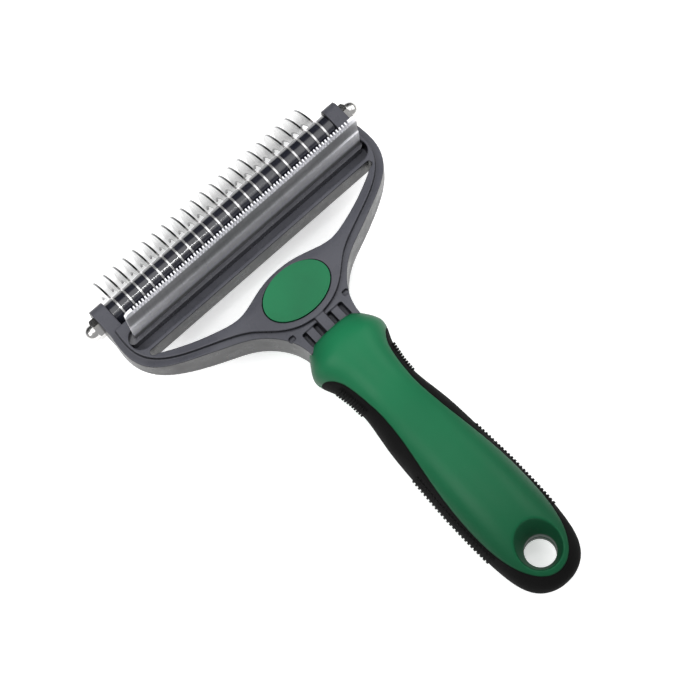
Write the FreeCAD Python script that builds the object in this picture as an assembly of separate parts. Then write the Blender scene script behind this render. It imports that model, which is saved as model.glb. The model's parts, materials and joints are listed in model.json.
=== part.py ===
import FreeCAD, Part
import math
import os

from FreeCAD import Vector

# Double-sided deshedding tool. Design axes while building, in millimetres:
# X along the rake axle, Y from the handle towards the head, Z towards the comb side.
# Every piece is turned and moved to its resting place just before it is written.

# rest: the tool lies on its rake tips and the back of its handle
REST_TILT = 4.04
REST_SHIFT = Vector(0.0, 59.91, 17.508)

# axle, nuts and rake stack
AXLE_R = 1.5
BORE_R = 1.8
AXLE_HALF = 46.4
EAR_IN = 39.7
EAR_OUT = 44.0
EAR_TOP = 4.3
EAR_DEEP = 4.7
EAR_ROUND = 2.6
NUT_TIP = 49.0
NUT_FLATS = 5.5
DOME_R = 2.5
BLADE_COUNT = 22
BLADE_PITCH = 3.5
BLADE_THICK = 0.55
HUB_R = 4.15
SPACER_R = 3.95
RAKE_R = 14.0
RAKE_CENTRE = (0.3, -13.3)

# crossbar, channel and comb
BAR_TOP = -5.2
BAR_LOW = -15.9
BAR_FRONT = 6.0
BAR_BACK = -2.5
RAIL = 1.1
CHANNEL_TOP = -8.2
CHANNEL_FLOOR = 0.4
CHANNEL_HALF = 41.8
COMB_Y = -9.8
COMB_THICK = 0.8
COMB_HALF = 40.4
COMB_OFFSET = 0.9
COMB_FOLD = 13.2
COMB_TOP = 23.6
TOOTH_PITCH = 1.0
TOOTH_DEPTH = 2.8
NOTCH_COUNT = 76

# frame
BAND_STEP = 1.5
BAND_FRONT = BAR_FRONT - BAND_STEP
NECK_FRONT = 9.3
NECK_BACK = -5.0
PLAQUE_Y = -31.0
PLAQUE_A = 10.3
PLAQUE_B = 6.85
TANG_END = -66.0

# handle
HANDLE_MID = 2.0
HOLE_Y = -125.0
HOLE_R = 4.3
HOLE_SLEEVE = 2.4
HOLE_STRAIGHT = 3.2
SKIN = 2.6
RIB_HEIGHT = 0.38
RIB_LEAN = 10.0

# outer edge of the frame's right half, from the ear to the neck
OUTER = [(44.0, BAR_TOP), (44.5, -10.0), (44.1, -14.5), (41.9, -19.0), (37.0, -23.2), (30.0, -26.9),
         (23.5, -29.8), (17.6, -32.6), (13.0, -36.4), (9.9, -41.0), (8.6, -46.5)]
# outer edge of the raised face, closing on the rib at the neck
RAISED = [(42.3, BAR_TOP), (42.6, -10.0), (42.1, -14.0), (39.8, -18.0), (35.2, -21.9), (28.6, -25.4),
          (22.3, -28.2), (16.4, -31.3), (11.6, -35.4), (6.2, -38.7), (0.0, -39.8)]
# lower edge of the opening, from the middle to the corner
OPENING = [(0.0, -22.7), (6.0, -23.4), (11.0, -25.0), (16.2, -26.2), (22.0, -25.1), (28.0, -22.9),
           (33.5, -20.3), (38.4, -17.6)]
# handle sections: y, half width, half thickness
SECTIONS = [(-44.8, 8.1, 7.4), (-46.0, 9.4, 9.0), (-48.4, 11.0, 10.3), (-51.4, 12.2, 11.0),
            (-54.2, 11.5, 10.9), (-57.5, 10.1, 10.5), (-62.0, 9.3, 10.0), (-67.0, 9.0, 9.8),
            (-72.0, 9.5, 10.2), (-78.3, 10.4, 10.9), (-89.0, 11.1, 11.8), (-101.3, 11.7, 12.2),
            (-111.0, 11.7, 11.6), (-118.0, 11.5, 10.4), (-124.0, 10.9, 8.9), (-129.5, 9.4, 6.9),
            (-133.0, 6.8, 4.7), (-134.6, 4.0, 2.9), (-135.2, 1.3, 1.0)]
# half width of the green panels along the handle
PANEL = [(-52.6, 14.0), (-54.6, 10.4), (-57.5, 8.4), (-62.5, 7.2), (-69.0, 6.6), (-77.0, 6.9),
         (-86.0, 8.1), (-97.0, 9.7), (-107.0, 10.4), (-116.0, 10.2), (-123.0, 9.0), (-128.5, 6.5),
         (-131.6, 3.2), (-132.4, 0.0)]


def spline(points):
    curve = Part.BSplineCurve()
    curve.interpolate(points)
    return curve.toShape()


def polygon(points):
    return Part.makePolygon(list(points) + [points[0]])


def prism(wire, along):
    return Part.Face(wire).extrude(along)


def box(x_range, y_range, z_range):
    corner = Vector(x_range[0], y_range[0], z_range[0])
    return Part.makeBox(x_range[1] - x_range[0], y_range[1] - y_range[0], z_range[1] - z_range[0], corner)


def rod(radius, start, end, y=0.0, z=0.0):
    return Part.makeCylinder(radius, end - start, Vector(start, y, z), Vector(1, 0, 0))


def mirrored(points):
    return [Vector(-x, y, 0) for x, y in reversed(points)]


def plan(points, close_low):
    """Closed plan outline from the right half of an edge that starts at the crossbar's top."""
    right = [Vector(x, y, 0) for x, y in points]
    left = mirrored(points)
    top = Part.makeLine(left[-1], right[0])
    if close_low:
        low = Part.makeLine(right[-1], left[0])
        return Part.Wire([top, spline(right), low, spline(left)])
    return Part.Wire([top, spline(right + left[1:])])


def side_slab(front_drop):
    """Block whose front and back follow the frame's side profile, wide enough to cut every outline."""
    front = BAR_FRONT - front_drop
    neck_front = NECK_FRONT - front_drop
    rise = spline([Vector(-60, -17.0, front), Vector(-60, -19.5, front + 0.5), Vector(-60, -23.0, front + 1.7),
                   Vector(-60, -26.5, neck_front - 0.3), Vector(-60, -29.0, neck_front)])
    fall = spline([Vector(-60, -29.0, NECK_BACK), Vector(-60, -26.0, NECK_BACK + 0.3),
                   Vector(-60, -22.5, NECK_BACK + 1.2), Vector(-60, -19.5, BAR_BACK - 0.4),
                   Vector(-60, -17.0, BAR_BACK)])
    front_bar = Part.makeLine(Vector(-60, 8, front), Vector(-60, -17.0, front))
    front_neck = Part.makeLine(Vector(-60, -29.0, neck_front), Vector(-60, -48, neck_front))
    end_neck = Part.makeLine(Vector(-60, -48, neck_front), Vector(-60, -48, NECK_BACK))
    back_neck = Part.makeLine(Vector(-60, -48, NECK_BACK), Vector(-60, -29.0, NECK_BACK))
    back_bar = Part.makeLine(Vector(-60, -17.0, BAR_BACK), Vector(-60, 8, BAR_BACK))
    end_bar = Part.makeLine(Vector(-60, 8, BAR_BACK), Vector(-60, 8, front))
    wire = Part.Wire([front_bar, rise, front_neck, end_neck, back_neck, fall, back_bar, end_bar])
    return prism(wire, Vector(120, 0, 0))


def tall(wire):
    moved = wire.copy()
    moved.translate(Vector(0, 0, -20))
    return prism(moved, Vector(0, 0, 40))


def opening_cut():
    lower = [Vector(x, y, 0) for x, y in OPENING]
    upper_corner = (38.6, BAR_LOW)
    left = [Vector(-x, y, 0) for x, y in reversed(OPENING)]
    right_corner = Part.Arc(lower[-1], Vector(39.5, -16.6, 0), Vector(upper_corner[0], upper_corner[1], 0))
    left_corner = Part.Arc(Vector(-upper_corner[0], upper_corner[1], 0), Vector(-39.5, -16.6, 0), left[0])
    top = Part.makeLine(Vector(upper_corner[0], upper_corner[1], 0), Vector(-upper_corner[0], upper_corner[1], 0))
    wire = Part.Wire([spline(left[:-1] + lower), right_corner.toShape(), top, left_corner.toShape()])
    return tall(wire)


def rounded_bar(x_half, y_low, y_high, z_low, z_high):
    """Bar along X whose ends are half round in plan."""
    radius = (y_high - y_low) / 2
    middle = (y_high + y_low) / 2
    bar = box((-x_half + radius, x_half - radius), (y_low, y_high), (z_low, z_high))
    ends = []
    for side in (-1, 1):
        place = Vector(side * (x_half - radius), middle, z_low)
        ends.append(Part.makeCylinder(radius, z_high - z_low, place))
    return bar.multiFuse(ends).removeSplitter()


def ear(side):
    """Lug at one end of the crossbar that carries the axle."""
    start = EAR_IN if side > 0 else -EAR_OUT
    straight = EAR_TOP - EAR_ROUND
    flat = EAR_DEEP - EAR_ROUND
    reach = EAR_ROUND * math.sqrt(0.5)
    back = Part.Arc(Vector(start, straight, -EAR_DEEP), Vector(start, straight + reach, -flat - reach),
                    Vector(start, EAR_TOP, -flat)).toShape()
    front = Part.Arc(Vector(start, EAR_TOP, flat), Vector(start, straight + reach, flat + reach),
                     Vector(start, straight, EAR_DEEP)).toShape()
    top = Part.makeLine(Vector(start, EAR_TOP, -flat), Vector(start, EAR_TOP, flat))
    rest = Part.makePolygon([Vector(start, straight, EAR_DEEP), Vector(start, -4.0, EAR_DEEP),
                             Vector(start, -7.0, BAND_FRONT), Vector(start, -12.0, BAND_FRONT),
                             Vector(start, -12.0, BAR_BACK), Vector(start, -4.0, -EAR_DEEP),
                             Vector(start, straight, -EAR_DEEP)])
    outline = Part.Wire([back, top, front] + rest.Edges)
    return prism(outline, Vector(EAR_OUT - EAR_IN, 0, 0))


def plaque(z_low, thick, grow):
    ellipse = Part.Ellipse(Vector(0, PLAQUE_Y, z_low), PLAQUE_A + grow, PLAQUE_B + grow)
    return prism(Part.Wire([ellipse.toShape()]), Vector(0, 0, thick))


def head_frame():
    band = tall(plan(OUTER, True)).common(side_slab(BAND_STEP))
    raised = tall(plan(RAISED, False)).common(side_slab(0.0))
    rib = box((-1.5, 1.5), (-46.5, -39.0), (0.0, NECK_FRONT - 0.4))
    body = band.multiFuse([raised, rib, ear(-1), ear(1)])
    tools = [opening_cut(), rod(BORE_R, -60, 60)]
    channel_low = BAR_LOW + RAIL
    tools.append(rounded_bar(CHANNEL_HALF, channel_low, CHANNEL_TOP, CHANNEL_FLOOR, 20))
    tools.append(plaque(NECK_FRONT - 1.6, 5, 0.25))
    tools.append(plaque(NECK_BACK - 3.4, 5, 0.25))
    pocket_top = NECK_FRONT + 2
    for side in (-1, 1):
        low, high = sorted((side * 1.7, side * 6.9))
        tools.append(box((low, high), (-45.2, -40.7), (5.2, pocket_top)))
        low, high = sorted((side * 8.6, side * 10.4))
        tools.append(box((low, high), (-40.4, -39.0), (6.6, pocket_top)))
    body = body.cut(tools)
    bars = []
    for side in (-1, 1):
        low, high = sorted((side * 3.1, side * 5.5))
        bars.append(box((low, high), (-45.4, -40.4), (5.0, NECK_FRONT - BAND_STEP - 0.5)))
    tang = box((-5.0, 5.0), (TANG_END, -46.0), (HANDLE_MID - 3.5, HANDLE_MID + 3.5))
    return body.multiFuse(bars + [tang]).removeSplitter()


def comb_holder():
    block = rounded_bar(CHANNEL_HALF - 0.1, COMB_Y - 1.6, COMB_Y + 1.5, CHANNEL_FLOOR, 4.0)
    slot = box((COMB_OFFSET - COMB_HALF - 0.02, COMB_OFFSET + COMB_HALF + 0.02), (COMB_Y - 0.42, COMB_Y + 0.42), (1.6, 10))
    return block.cut(slot)


def comb_blade():
    half = COMB_THICK / 2
    crank = 0.35
    bottom = 1.65
    profile = [(COMB_Y - half, bottom), (COMB_Y + half, bottom), (COMB_Y + half, COMB_FOLD - 0.5),
               (COMB_Y + half + crank, COMB_FOLD + 0.5), (COMB_Y + half + crank, COMB_TOP),
               (COMB_Y - half + crank, COMB_TOP), (COMB_Y - half + crank, COMB_FOLD + 0.5),
               (COMB_Y - half, COMB_FOLD - 0.5)]
    wire = polygon([Vector(-COMB_HALF, y, z) for y, z in profile])
    blade = prism(wire, Vector(2 * COMB_HALF, 0, 0))
    cuts = []
    root = COMB_TOP - TOOTH_DEPTH
    for number in range(NOTCH_COUNT):
        x = (number - (NOTCH_COUNT - 1) / 2) * TOOTH_PITCH
        notch = polygon([Vector(x - 0.24, -20, root), Vector(x + 0.24, -20, root),
                         Vector(x + 0.34, -20, COMB_TOP + 1), Vector(x - 0.34, -20, COMB_TOP + 1)])
        cuts.append(prism(notch, Vector(0, 20, 0)))
    for side in (-1, 1):
        corner = polygon([Vector(side * COMB_HALF, -20, COMB_TOP - 1.2), Vector(side * COMB_HALF, -20, COMB_TOP),
                          Vector(side * (COMB_HALF - 0.9), -20, COMB_TOP)])
        cuts.append(prism(corner, Vector(0, 20, 0)))
    blade = blade.cut(cuts)
    blade.translate(Vector(COMB_OFFSET, 0, 0))
    return blade


def rake_point(angle):
    y = RAKE_CENTRE[0] + RAKE_R * math.cos(math.radians(angle))
    z = RAKE_CENTRE[1] + RAKE_R * math.sin(math.radians(angle))
    return Vector(0, y, z)


def rake_blade(number):
    """Sickle plate: hub ring on the axle with a curved tooth towards the rake side."""
    start = (number - (BLADE_COUNT - 1) / 2) * BLADE_PITCH - BLADE_THICK / 2
    crown = rake_point(97)
    shoulder = rake_point(-17)
    heel = Vector(0, 10.5, -16.9)
    root = Vector(0, 0.2, -3.4)
    outer = Part.Arc(crown, rake_point(35), shoulder).toShape()
    tip = Part.Arc(shoulder, Vector(0, 12.0, -18.4), heel).toShape()
    inner = Part.Arc(heel, Vector(0, 8.3, -9.6), root).toShape()
    back = Part.makeLine(root, crown)
    tooth = prism(Part.Wire([outer, tip, inner, back]), Vector(BLADE_THICK, 0, 0))
    tooth.translate(Vector(start, 0, 0))
    plate = tooth.fuse(rod(HUB_R, start, start + BLADE_THICK))
    return plate.cut(rod(BORE_R, start - 1, start + BLADE_THICK + 1)).removeSplitter()


def spacer(number):
    """Sleeve between two rake blades, or between the end blade and an ear."""
    first = (number - (BLADE_COUNT + 1) / 2) * BLADE_PITCH + BLADE_THICK / 2
    last = first + BLADE_PITCH - BLADE_THICK
    start = max(first, -EAR_IN)
    end = min(last, EAR_IN)
    sleeve = rod(SPACER_R, start, end)
    rims = [edge for edge in sleeve.Edges if abs(edge.Length - 2 * math.pi * SPACER_R) < 0.01]
    sleeve = sleeve.makeChamfer(0.12, rims)
    return sleeve.cut(rod(BORE_R, start - 1, end + 1))


def cap_nut(side):
    """Hexagon nut with a domed blind end."""
    hex_r = NUT_FLATS / math.sqrt(3)
    corners = []
    for step in range(6):
        angle = math.radians(60 * step + 30)
        corners.append(Vector(EAR_OUT, hex_r * math.cos(angle), hex_r * math.sin(angle)))
    hexagon = prism(polygon(corners), Vector(1.9, 0, 0))
    trim = Part.makeCone(hex_r + 1.5, hex_r - 0.4, 1.9, Vector(EAR_OUT, 0, 0), Vector(1, 0, 0))
    hexagon = hexagon.common(trim)
    dome = rod(DOME_R, EAR_OUT + 1.5, NUT_TIP - DOME_R).fuse(Part.makeSphere(DOME_R, Vector(NUT_TIP - DOME_R, 0, 0)))
    nut = hexagon.fuse(dome).cut(rod(BORE_R - 0.2, EAR_OUT - 1, AXLE_HALF + 0.3)).removeSplitter()
    if side < 0:
        nut = nut.mirror(Vector(0, 0, 0), Vector(1, 0, 0))
    return nut


def section(y, half_width, half_thick):
    """Rounded section of the handle, a little squarer than an ellipse."""
    power = 2.0 / 2.25
    points = []
    for step in range(24):
        angle = 2 * math.pi * step / 24
        cosine = math.cos(angle)
        sine = math.sin(angle)
        x = half_width * math.copysign(abs(cosine) ** power, cosine)
        z = half_thick * math.copysign(abs(sine) ** power, sine)
        points.append(Vector(x, y, HANDLE_MID + z))
    curve = Part.BSplineCurve()
    curve.interpolate(Points=points, PeriodicFlag=True)
    return Part.Wire([curve.toShape()])


def handle_body(wall):
    """Outer shape of the handle, shrunk by a wall thickness."""
    wires = []
    for y, width, thick in SECTIONS:
        if thick - wall > 0.5:
            wires.append(section(y, width - wall, thick - wall))
    return Part.makeLoft(wires, True, False)


def panel_prism():
    """Plan shape of a green panel, tall enough to cut through the handle."""
    top = -40.0
    right = [Vector(x, y, -20) for y, x in PANEL]
    left = [Vector(-x, y, -20) for y, x in reversed(PANEL[:-1])]
    upper_right = Vector(right[0].x, top, -20)
    upper_left = Vector(-right[0].x, top, -20)
    lines = [Part.makeLine(upper_left, upper_right), Part.makeLine(upper_right, right[0])]
    lines.append(spline(right + left))
    lines.append(Part.makeLine(left[-1], upper_left))
    return prism(Part.Wire(lines), Vector(0, 0, 50))


def hanging_hole():
    return Part.makeCylinder(HOLE_R, 60, Vector(0, HOLE_Y, -30))


def dish(side):
    """Shallow cone round one mouth of the hanging hole."""
    depth = HANDLE_MID + side * HOLE_STRAIGHT
    return Part.makeCone(HOLE_R, HOLE_R + 3.4, 7.4, Vector(0, HOLE_Y, depth), Vector(0, 0, side))


def handle_size(y):
    """Half width and half thickness of the handle at y, between its sections."""
    for upper, lower in zip(SECTIONS, SECTIONS[1:]):
        if lower[0] <= y <= upper[0]:
            part = (upper[0] - y) / (upper[0] - lower[0])
            width = upper[1] + part * (lower[1] - upper[1])
            thick = upper[2] + part * (lower[2] - upper[2])
            return width, thick


def ribs(side):
    """Thin cross ribs of one grip in a waist row and a lower row, each rooted just under its surface."""
    solids = []
    reach = box((0, 20), (-140, 0), (HANDLE_MID - 6.6, HANDLE_MID + 5.2))
    if side < 0:
        reach.translate(Vector(-20, 0, 0))
    for first, pitch, count, thick in ((-57.6, 0.85, 11, 0.45), (-88.5, 1.15, 26, 0.6)):
        for number in range(count):
            y = first - number * pitch
            width, thickness = handle_size(y)
            outer = section(y, width + RIB_HEIGHT, thickness + RIB_HEIGHT)
            root = section(y, width - 0.5, thickness - 0.5)
            ring = prism(outer, Vector(0, -thick, 0)).cut(prism(root, Vector(0, -thick, 0)))
            ring.rotate(Vector(0, y, HANDLE_MID), Vector(1, 0, 0), RIB_LEAN)
            solids.append(ring.common(reach))
    return solids


def handle_parts():
    """Core, two green panels and two black grips, cut from one outer shape."""
    outer = handle_body(0.0)
    inner = handle_body(SKIN)
    hole = hanging_hole()
    socket = box((-5.1, 5.1), (TANG_END - 0.1, -30), (HANDLE_MID - 3.6, HANDLE_MID + 3.6))
    panels = panel_prism()
    upper = box((-30, 30), (-140, -30), (HANDLE_MID, 40))
    lower = box((-30, 30), (-140, -30), (-40, HANDLE_MID))
    sleeve = Part.makeCylinder(HOLE_R + HOLE_SLEEVE, 60, Vector(0, HOLE_Y, -30))
    lining = inner.common(sleeve)
    core = inner.cut([sleeve, socket])
    shell = outer.cut([inner, socket])
    panel = shell.common(panels).fuse(lining)
    front = panel.common(upper).cut([hole, dish(1)]).removeSplitter()
    rear = panel.common(lower).cut([hole, dish(-1)]).removeSplitter()
    grip = shell.cut([panels, hole])
    left_side = box((-30, 0), (-140, -30), (-40, 40))
    right_side = box((0, 30), (-140, -30), (-40, 40))
    return {
        "handle_core": core,
        "handle_front": front,
        "handle_rear": rear,
        "grip_left": Part.makeCompound([grip.common(left_side)] + ribs(-1)),
        "grip_right": Part.makeCompound([grip.common(right_side)] + ribs(1)),
    }


def build():
    pieces = {
        "head_frame": head_frame(),
        "comb_holder": comb_holder(),
        "comb_blade": comb_blade(),
        "axle": rod(AXLE_R, -AXLE_HALF, AXLE_HALF),
        "nut_left": cap_nut(-1),
        "nut_right": cap_nut(1),
        "plaque_front": plaque(NECK_FRONT - 1.6, 1.75, 0.0),
        "plaque_rear": plaque(NECK_BACK - 0.15, 1.75, 0.0),
    }
    for number in range(BLADE_COUNT):
        pieces["rake_blade_%02d" % (number + 1)] = rake_blade(number)
    for number in range(BLADE_COUNT + 1):
        pieces["spacer_%02d" % (number + 1)] = spacer(number)
    pieces.update(handle_parts())
    return pieces


def at_rest(shape):
    placed = shape.copy()
    placed.rotate(Vector(0, 0, 0), Vector(1, 0, 0), REST_TILT)
    placed.translate(REST_SHIFT)
    return placed


def main():
    os.makedirs("parts", exist_ok=True)
    for name, shape in build().items():
        at_rest(shape).exportStep("parts/" + name + ".step")


main()
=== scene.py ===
import json
import math

import bpy
from mathutils import Matrix, Vector


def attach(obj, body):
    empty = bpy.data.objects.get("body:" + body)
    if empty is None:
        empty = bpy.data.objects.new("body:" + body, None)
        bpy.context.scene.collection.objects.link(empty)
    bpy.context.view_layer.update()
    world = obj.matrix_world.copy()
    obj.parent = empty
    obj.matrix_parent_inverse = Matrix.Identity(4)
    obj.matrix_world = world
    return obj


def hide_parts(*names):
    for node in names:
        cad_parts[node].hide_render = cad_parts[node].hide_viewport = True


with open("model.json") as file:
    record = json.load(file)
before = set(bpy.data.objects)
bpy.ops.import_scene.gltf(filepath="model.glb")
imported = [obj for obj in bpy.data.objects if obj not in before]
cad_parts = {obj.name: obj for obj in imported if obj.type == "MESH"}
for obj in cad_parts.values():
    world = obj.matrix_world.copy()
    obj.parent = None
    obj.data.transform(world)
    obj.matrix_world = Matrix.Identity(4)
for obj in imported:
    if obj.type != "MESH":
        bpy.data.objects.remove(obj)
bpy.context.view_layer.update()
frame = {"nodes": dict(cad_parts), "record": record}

MM = 0.001

# from the tool's own axes to its resting place
REST_TILT = math.radians(4.04)
REST_SHIFT = Vector((0.0, 59.91, 17.508)) * MM
REST = Matrix.Translation(REST_SHIFT) @ Matrix.Rotation(REST_TILT, 4, "X")

# camera
CAMERA_PLACE = (-0.09960, -0.19476, 0.65956)
CAMERA_TURN = (18.907, 5.692, -41.863)
CAMERA_LENS = 136.26
CAMERA_SENSOR = 36.0
CAMERA_NEAR = 0.01

# colours, linear
FRAME_GREY = (0.056, 0.057, 0.068)
FRAME_GREY_LIGHT = (0.076, 0.077, 0.090)
SPACER_DARK = (0.010, 0.011, 0.017)
SPACER_LIGHT = (0.018, 0.019, 0.028)
GREEN = (0.009, 0.122, 0.050)
GREEN_DEEP = (0.008, 0.104, 0.043)
PLAQUE_GREEN = (0.012, 0.165, 0.066)
RUBBER = (0.005, 0.005, 0.005)
RUBBER_LIGHT = (0.008, 0.008, 0.008)
STEEL = (0.78, 0.78, 0.785)
STEEL_DARK = (0.66, 0.66, 0.67)
RAKE_STEEL = (0.66, 0.66, 0.66)
RAKE_STEEL_DARK = (0.54, 0.54, 0.54)
# painted dark reflection on the rake blades' edges
RIM_PAINTED_DARK_REFLECTION = (0.05, 0.05, 0.055)
NICKEL = (0.74, 0.73, 0.70)
FLOOR = (0.90, 0.90, 0.90)

# rake blade edges, in the tool's own axes: a painted dark reflection beyond the hub only
RIM_START = (4.15 + 1.2) * MM
RIM_OUTWARD = 0.3
RAKE_INNER_CENTRE = (-4.01, -17.29)
RAKE_INNER_R = 14.515 * MM
RAKE_INNER_SHADE_WIDTH = 0.45 * MM

# comb blade tone against height above the floor: painted reflections, bright bands as painted
# highlights and dark bands as painted shade
COMB_PAINTED_REFLECTIONS = (
    (0.0180, 0.25), (0.0225, 0.25), (0.0243, 1.30), (0.0290, 1.50), (0.0302, 0.70),
    (0.0330, 0.45), (0.0368, 0.40), (0.0380, 1.15), (0.0404, 1.15),
)
# blue tint of the painted reflection bands
COMB_BLUE = 1.04

# painted shading on the green along the tool's own Y, from the handle's end (darker) to its shoulder
# (lighter)
SHADING_END = -0.125
SHADING_SHOULDER = -0.050
SHADING_LOW = 0.62
SHADING_HIGH = 1.38

# moulded plastic: slow waves under the grain, and its coat
WAVE_SCALE = 90
WAVE_DEPTH = 0.00005
WAVE_STRENGTH = 0.2
GRAIN_STRENGTH = 0.35
COAT_ROUGHNESS = 0.12
PLASTIC_IOR = 1.5

# steel: depth of its brushed lines, and size of the smudges in its gloss
BRUSH_DEPTH = 0.00001
BRUSH_STRENGTH = 0.2
SMUDGE_SCALE = 160

# how squarely a surface has to face outwards to count as wall or as top, for the painted shade on
# walls and painted light on tops
WALL_FACING = 0.15
TOP_FACING = 0.95

# softened copies of CAD nodes
WELD_DISTANCE = 0.00002
FRAME_VOXEL = 0.00022
FRAME_ROUNDS = 5
PANEL_VOXEL = 0.00035
PANEL_ROUNDS = 4

# studio
FLOOR_SIZE = 6.0
FLOOR_DROP = 0.0004
FLOOR_ROUGHNESS = 0.9
FLOOR_GLOW = 0.50
SKY_STRENGTH = 0.45
SKY_BRIGHT = 0.95
SKY_DIM = 0.12
SKY_BRIGHT_UNTIL = 0.15
SKY_DIM_FROM = 0.75
LIGHT_AIM = (0, 0.05, 0)
LIGHTS = (
    ("key", (-0.60, 0.05, 0.75), (0.5, 0.5), 4.4),
    ("fill", (0.60, -0.10, 0.60), (0.6, 0.4), 2.6),
    ("top", (0.05, 0.15, 1.0), (0.9, 0.9), 3.8),
    ("spark", (0.06, -0.05, 0.70), (0.03, 0.03), 0.25),
)


# node helpers

def feed(tree, socket, value):
    """Link a node's output into a socket, or set the socket to a plain value."""
    if isinstance(value, bpy.types.NodeSocket):
        tree.links.new(value, socket)
    else:
        socket.default_value = value


def new_material(name):
    material = bpy.data.materials.new(name)
    material.use_nodes = True
    tree = material.node_tree
    tree.nodes.clear()
    out = tree.nodes.new("ShaderNodeOutputMaterial")
    shader = tree.nodes.new("ShaderNodeBsdfPrincipled")
    tree.links.new(shader.outputs["BSDF"], out.inputs["Surface"])
    return material, shader


def object_place(tree):
    return tree.nodes.new("ShaderNodeTexCoord").outputs["Object"]


def object_axis(tree, axis):
    split = tree.nodes.new("ShaderNodeSeparateXYZ")
    tree.links.new(object_place(tree), split.inputs["Vector"])
    return split.outputs[axis]


def noise(tree, scale, detail=4.0, stretch=(1.0, 1.0, 1.0)):
    mapping = tree.nodes.new("ShaderNodeMapping")
    mapping.inputs["Scale"].default_value = stretch
    texture = tree.nodes.new("ShaderNodeTexNoise")
    texture.inputs["Scale"].default_value = scale
    texture.inputs["Detail"].default_value = detail
    tree.links.new(object_place(tree), mapping.inputs["Vector"])
    tree.links.new(mapping.outputs["Vector"], texture.inputs["Vector"])
    return texture.outputs["Fac"]


def ramp_colour(tone):
    """A ramp's colour from either a colour or a single grey value."""
    if isinstance(tone, tuple):
        return (*tone, 1.0)
    return (tone, tone, tone, 1.0)


def ramp(tree, source, low, high, start=0.3, end=0.7):
    node = tree.nodes.new("ShaderNodeValToRGB")
    first, last = node.color_ramp.elements
    first.position = start
    first.color = ramp_colour(low)
    last.position = end
    last.color = ramp_colour(high)
    tree.links.new(source, node.inputs["Fac"])
    return node.outputs["Color"]


def bump(tree, source, distance, strength, under=None):
    node = tree.nodes.new("ShaderNodeBump")
    node.inputs["Distance"].default_value = distance
    node.inputs["Strength"].default_value = strength
    tree.links.new(source, node.inputs["Height"])
    if under is not None:
        tree.links.new(under, node.inputs["Normal"])
    return node.outputs["Normal"]


def math_node(tree, operation, *values):
    node = tree.nodes.new("ShaderNodeMath")
    node.operation = operation
    for socket, value in zip(node.inputs, values):
        feed(tree, socket, value)
    return node.outputs["Value"]


def vector_node(tree, operation, *values):
    node = tree.nodes.new("ShaderNodeVectorMath")
    node.operation = operation
    for socket, value in zip(node.inputs, values):
        feed(tree, socket, value)
    return node


def map_range(tree, value, start, end, low, high):
    node = tree.nodes.new("ShaderNodeMapRange")
    node.inputs["From Min"].default_value = start
    node.inputs["From Max"].default_value = end
    node.inputs["To Min"].default_value = low
    node.inputs["To Max"].default_value = high
    tree.links.new(value, node.inputs["Value"])
    return node.outputs["Result"]


def base_colour(material):
    """Tree, base colour socket and what now feeds that socket."""
    tree = material.node_tree
    shader = next(node for node in tree.nodes if node.type == "BSDF_PRINCIPLED")
    socket = shader.inputs["Base Color"]
    return tree, socket, socket.links[0].from_socket


# finishes

def plastic(name, low, high, rough, patch, grain, grain_depth, coat=0.0, shine=0.5):
    """Moulded plastic: slow colour drift, uneven gloss and a fine surface grain."""
    material, shader = new_material(name)
    tree = material.node_tree
    colour = ramp(tree, noise(tree, patch), low, high)
    roughness = ramp(tree, noise(tree, patch * 4), *rough)
    fine = bump(tree, noise(tree, grain, 2.0), grain_depth, GRAIN_STRENGTH)
    wavy = bump(tree, noise(tree, WAVE_SCALE, 1.0), WAVE_DEPTH, WAVE_STRENGTH, fine)
    tree.links.new(colour, shader.inputs["Base Color"])
    tree.links.new(roughness, shader.inputs["Roughness"])
    tree.links.new(wavy, shader.inputs["Normal"])
    shader.inputs["Coat Weight"].default_value = coat
    shader.inputs["Coat Roughness"].default_value = COAT_ROUGHNESS
    shader.inputs["IOR"].default_value = PLASTIC_IOR
    shader.inputs["Specular IOR Level"].default_value = shine
    return material


def metal(name, low, high, rough, stretch, scale, purity=1.0):
    """Polished steel: fine brushed lines along one way, with faint smudges in the gloss."""
    material, shader = new_material(name)
    tree = material.node_tree
    lines = noise(tree, scale, 3.0, stretch)
    roughness = ramp(tree, noise(tree, SMUDGE_SCALE, 3.0), *rough)
    tree.links.new(ramp(tree, lines, low, high), shader.inputs["Base Color"])
    tree.links.new(roughness, shader.inputs["Roughness"])
    tree.links.new(bump(tree, lines, BRUSH_DEPTH, BRUSH_STRENGTH), shader.inputs["Normal"])
    shader.inputs["Metallic"].default_value = purity
    return material


def radial(tree, centre):
    """Distance and direction from a line along X through a point in the tool's own axes."""
    middle = REST @ (Vector((0.0, *centre)) * MM)
    offset = vector_node(tree, "SUBTRACT", object_place(tree), middle)
    flat = vector_node(tree, "MULTIPLY", offset.outputs["Vector"], (0.0, 1.0, 1.0))
    reach = vector_node(tree, "LENGTH", flat.outputs["Vector"])
    unit = vector_node(tree, "NORMALIZE", flat.outputs["Vector"])
    return reach.outputs["Value"], unit.outputs["Vector"]


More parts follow.
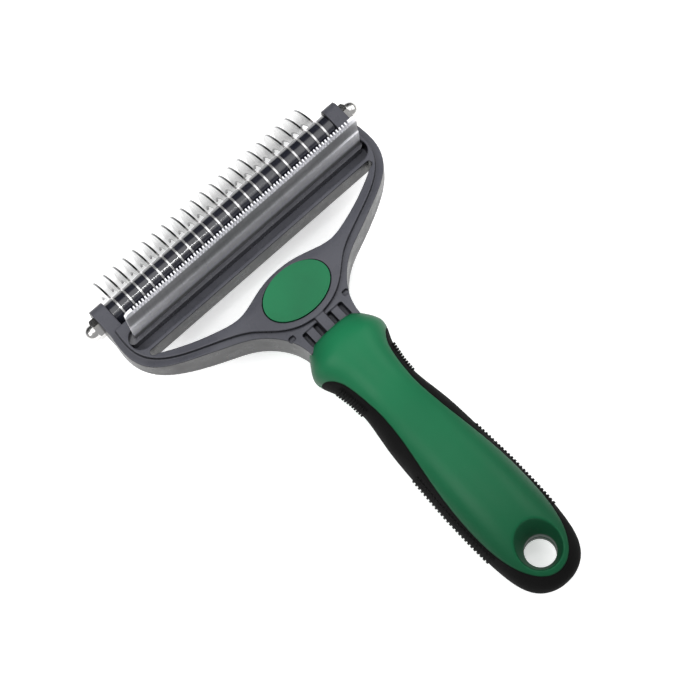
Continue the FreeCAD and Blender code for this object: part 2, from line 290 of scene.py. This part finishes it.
def paint_rake_edge_reflections(material):
    """Painted dark reflection on the edges of a rake blade: its outer rim beyond the hub and a band
    along the inner curve.
    """
    tree, socket, face_colour = base_colour(material)
    surface = tree.nodes.new("ShaderNodeNewGeometry")
    reach, unit = radial(tree, (0.0, 0.0))
    inner_reach = radial(tree, RAKE_INNER_CENTRE)[0]
    along = vector_node(tree, "DOT_PRODUCT", unit, surface.outputs["True Normal"])
    outward = math_node(tree, "GREATER_THAN", along.outputs["Value"], RIM_OUTWARD)
    far = math_node(tree, "GREATER_THAN", reach, RIM_START)
    rim = math_node(tree, "MULTIPLY", outward, far)
    near_curve = math_node(tree, "LESS_THAN", inner_reach, RAKE_INNER_R + RAKE_INNER_SHADE_WIDTH)
    inner_curve_shade = math_node(tree, "MULTIPLY", near_curve, far)
    mix = tree.nodes.new("ShaderNodeMix")
    mix.data_type = "RGBA"
    mix.inputs["B"].default_value = (*RIM_PAINTED_DARK_REFLECTION, 1.0)
    tree.links.new(math_node(tree, "MAXIMUM", rim, inner_curve_shade), mix.inputs["Factor"])
    tree.links.new(face_colour, mix.inputs["A"])
    tree.links.new(mix.outputs["Result"], socket)


def paint_comb_reflections(material):
    """Painted reflections on the polished comb: dark near its foot, bright under the fold, mid grey
    above it, bright teeth.
    """
    tree, socket, own_colour = base_colour(material)
    foot = COMB_PAINTED_REFLECTIONS[0][0]
    top = COMB_PAINTED_REFLECTIONS[-1][0]
    bands = tree.nodes.new("ShaderNodeValToRGB")
    stops = bands.color_ramp.elements
    while len(stops) < len(COMB_PAINTED_REFLECTIONS):
        stops.new(0.5)
    for stop, (height, tone) in zip(stops, COMB_PAINTED_REFLECTIONS):
        stop.position = (height - foot) / (top - foot)
        stop.color = (tone, tone, tone * COMB_BLUE, 1.0)
    share = map_range(tree, object_axis(tree, "Z"), foot, top, 0.0, 1.0)
    tree.links.new(share, bands.inputs["Fac"])
    product = vector_node(tree, "MULTIPLY", own_colour, bands.outputs["Color"])
    tree.links.new(product.outputs["Vector"], socket)


def scale_colour(material, factor):
    tree, socket, own_colour = base_colour(material)
    scaled = vector_node(tree, "SCALE", own_colour)
    tree.links.new(factor, scaled.inputs["Scale"])
    tree.links.new(scaled.outputs["Vector"], socket)


def paint_shading_along_handle(material):
    """Painted shading: green a little lighter at the shoulder than at the far end."""
    tree = material.node_tree
    along = object_axis(tree, "Y")
    scale_colour(material, map_range(tree, along, SHADING_END, SHADING_SHOULDER, SHADING_LOW, SHADING_HIGH))


def paint_wall_shade_and_top_light(material, wall, top):
    """Painted shade and light: scale the colour by how far the surface turns away from the tool's two
    broad faces, darker on the walls, lighter on the broad faces.
    """
    tree = material.node_tree
    surface = tree.nodes.new("ShaderNodeNewGeometry")
    upward = REST.to_3x3() @ Vector((0.0, 0.0, 1.0))
    facing = vector_node(tree, "DOT_PRODUCT", surface.outputs["Normal"], upward)
    size = math_node(tree, "ABSOLUTE", facing.outputs["Value"])
    scale_colour(material, map_range(tree, size, WALL_FACING, TOP_FACING, wall, top))


# materials

def frame_grey():
    material = plastic(
        "frame_abs", FRAME_GREY, FRAME_GREY_LIGHT,
        rough=(0.24, 0.34), patch=60, grain=2600, grain_depth=0.00003, shine=0.14)
    # painted shade on the walls and painted light on the tops
    paint_wall_shade_and_top_light(material, wall=0.14, top=1.15)
    return material


def holder_grey():
    return plastic(
        "holder_abs", FRAME_GREY, FRAME_GREY_LIGHT,
        rough=(0.20, 0.32), patch=60, grain=2600, grain_depth=0.00003, coat=0.3)


def comb_steel():
    material = metal(
        "comb_steel_polished", STEEL_DARK, STEEL,
        rough=(0.28, 0.33), stretch=(1.0, 0.02, 0.02), scale=1800, purity=0.55)
    # painted reflections on the comb, in bands by height
    paint_comb_reflections(material)
    return material


def rake_steel():
    material = metal(
        "rake_steel_polished", RAKE_STEEL_DARK, RAKE_STEEL,
        rough=(0.16, 0.24), stretch=(1.0, 0.05, 1.0), scale=900, purity=0.7)
    # painted dark reflection along the blade edges
    paint_rake_edge_reflections(material)
    return material


def nut_steel():
    return metal(
        "nut_nickel", STEEL_DARK, NICKEL,
        rough=(0.14, 0.26), stretch=(0.2, 1.0, 1.0), scale=500)


def spacer_black():
    return plastic(
        "spacer_gloss", SPACER_DARK, SPACER_LIGHT,
        rough=(0.12, 0.20), patch=120, grain=3000, grain_depth=0.00001, coat=0.6)


def handle_green():
    material = plastic(
        "handle_green", GREEN_DEEP, GREEN,
        rough=(0.36, 0.44), patch=35, grain=2400, grain_depth=0.00003, shine=0.11)
    # painted shading: lighter towards the shoulder, darker towards the handle's end
    paint_shading_along_handle(material)
    # painted shade on the walls and painted light on the broad faces
    paint_wall_shade_and_top_light(material, wall=0.50, top=1.06)
    return material


def plaque_green():
    return plastic(
        "plaque_green", GREEN, PLAQUE_GREEN,
        rough=(0.34, 0.42), patch=50, grain=2400, grain_depth=0.00002, shine=0.16)


def grip_rubber():
    return plastic(
        "grip_rubber", RUBBER, RUBBER_LIGHT,
        rough=(0.60, 0.72), patch=70, grain=3200, grain_depth=0.00005, shine=0.02)


def core_black():
    return plastic(
        "core_plastic", RUBBER, RUBBER_LIGHT,
        rough=(0.45, 0.6), patch=70, grain=2400, grain_depth=0.00004)


MATERIALS = {
    "abs_grey": frame_grey(),
    "holder_grey": holder_grey(),
    "comb_steel": comb_steel(),
    "rake_steel": rake_steel(),
    "nut_steel": nut_steel(),
    "spacer_black": spacer_black(),
    "green_plastic": handle_green(),
    "grip_black": grip_rubber(),
    "core_black": core_black(),
}
PLAQUE_MATERIAL = plaque_green()


# pieces

def give(obj, material):
    obj.data.materials.clear()
    obj.data.materials.append(material)


def dress_nodes():
    """Every CAD node takes the finish of its material slot, and the plaques their own green."""
    for row in frame["record"]["subparts"]:
        obj = frame["nodes"][row["node"]]
        material = MATERIALS[row["material_slot"]]
        if row["node"].startswith("plaque"):
            material = PLAQUE_MATERIAL
        give(obj, material)


def moulded_copy(node, name, slot, voxel, rounds):
    """Stand-in for a CAD node whose edges are softened like a real moulding."""
    mesh = frame["nodes"][node].data.copy()
    mesh.name = name
    mesh.transform(REST.inverted())
    obj = bpy.data.objects.new(name, mesh)
    bpy.context.scene.collection.objects.link(obj)
    obj.matrix_world = REST
    weld = obj.modifiers.new("weld", "WELD")
    weld.merge_threshold = WELD_DISTANCE
    remesh = obj.modifiers.new("remesh", "REMESH")
    remesh.mode = "VOXEL"
    remesh.voxel_size = voxel
    remesh.use_smooth_shade = True
    smooth = obj.modifiers.new("smooth", "SMOOTH")
    smooth.factor = 0.5
    smooth.iterations = rounds
    give(obj, MATERIALS[slot])
    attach(obj, "root")
    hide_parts(node)


# studio

def pale_floor():
    """Floor that gives off light of its own, so that the tool's shadow stays pale."""
    bpy.ops.mesh.primitive_plane_add(size=FLOOR_SIZE, location=(0, 0, -FLOOR_DROP))
    floor = bpy.context.object
    floor.name = "studio_floor"
    material, shader = new_material("floor_pale")
    shader.inputs["Base Color"].default_value = (*FLOOR, 1.0)
    shader.inputs["Roughness"].default_value = FLOOR_ROUGHNESS
    shader.inputs["Emission Color"].default_value = (1.0, 1.0, 1.0, 1.0)
    shader.inputs["Emission Strength"].default_value = FLOOR_GLOW
    give(floor, material)


def area_light(name, place, size, power):
    data = bpy.data.lights.new(name, "AREA")
    data.shape = "RECTANGLE"
    data.size, data.size_y = size
    data.energy = power
    light = bpy.data.objects.new(name, data)
    light.location = place
    light.rotation_euler = (Vector(LIGHT_AIM) - Vector(place)).to_track_quat("-Z", "Y").to_euler()
    bpy.context.scene.collection.objects.link(light)


def sky():
    """Soft sky, bright behind the handle's end and dim beyond the head."""
    world = bpy.data.worlds.new("studio_world")
    bpy.context.scene.world = world
    world.use_nodes = True
    tree = world.node_tree
    split = tree.nodes.new("ShaderNodeSeparateXYZ")
    direction = tree.nodes.new("ShaderNodeTexCoord").outputs["Generated"]
    tree.links.new(direction, split.inputs["Vector"])
    glow = ramp(tree, split.outputs["Y"], SKY_BRIGHT, SKY_DIM, SKY_BRIGHT_UNTIL, SKY_DIM_FROM)
    background = tree.nodes["Background"]
    tree.links.new(glow, background.inputs["Color"])
    background.inputs["Strength"].default_value = SKY_STRENGTH


def view_camera():
    data = bpy.data.cameras.new("view_camera")
    data.lens = CAMERA_LENS
    data.sensor_width = CAMERA_SENSOR
    data.clip_start = CAMERA_NEAR
    camera = bpy.data.objects.new("view_camera", data)
    camera.location = CAMERA_PLACE
    camera.rotation_euler = [math.radians(angle) for angle in CAMERA_TURN]
    bpy.context.scene.collection.objects.link(camera)
    bpy.context.scene.camera = camera
    bpy.context.scene.view_settings.view_transform = "Standard"


dress_nodes()
moulded_copy("head_frame", "head_frame_moulding", "abs_grey", FRAME_VOXEL, FRAME_ROUNDS)
moulded_copy("handle_front", "handle_front_panel", "green_plastic", PANEL_VOXEL, PANEL_ROUNDS)
moulded_copy("handle_rear", "handle_rear_panel", "green_plastic", PANEL_VOXEL, PANEL_ROUNDS)
pale_floor()
for light in LIGHTS:
    area_light(*light)
sky()
view_camera()
